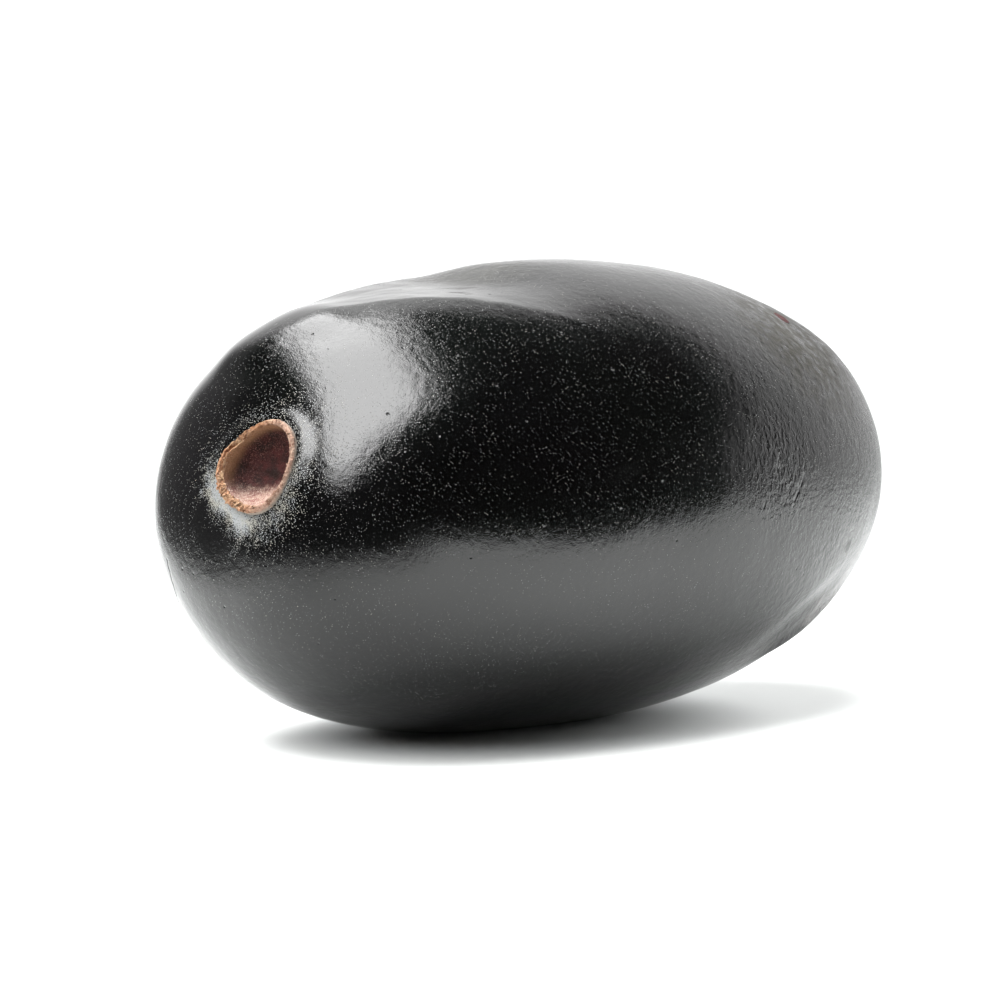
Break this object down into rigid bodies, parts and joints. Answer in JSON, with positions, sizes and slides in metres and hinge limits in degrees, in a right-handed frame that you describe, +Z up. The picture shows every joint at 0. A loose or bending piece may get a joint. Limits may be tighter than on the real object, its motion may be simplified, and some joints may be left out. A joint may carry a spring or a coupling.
{
  "type": "jamun fruit",
  "caption": "Ripe jamun, a blunt oblong near-black fruit lying on its side, with a dried calyx rim round a shallow cup at one end and a stalk scar at the other.",
  "frame": {"origin": "on the surface that the fruit rests on, under the middle of its bounding box to within 0.3 mm", "axes": "+Z up; X along the fruit's level long axis, with the calyx end at -X and the stalk scar at +X; +Y across it"},
  "size_m": [0.032, 0.0182, 0.0177],
  "materials": {
    "skin": "near-black purple waxy skin, glossy, with fine pimples, wrinkles and pale specks",
    "dry_tissue": "dry, flaky tan to pinkish brown tissue of the calyx rim and the stalk scar, matte"
  },
  "bodies": {
    "root": {"fruit": "skin"}
  },
  "joints": []
}
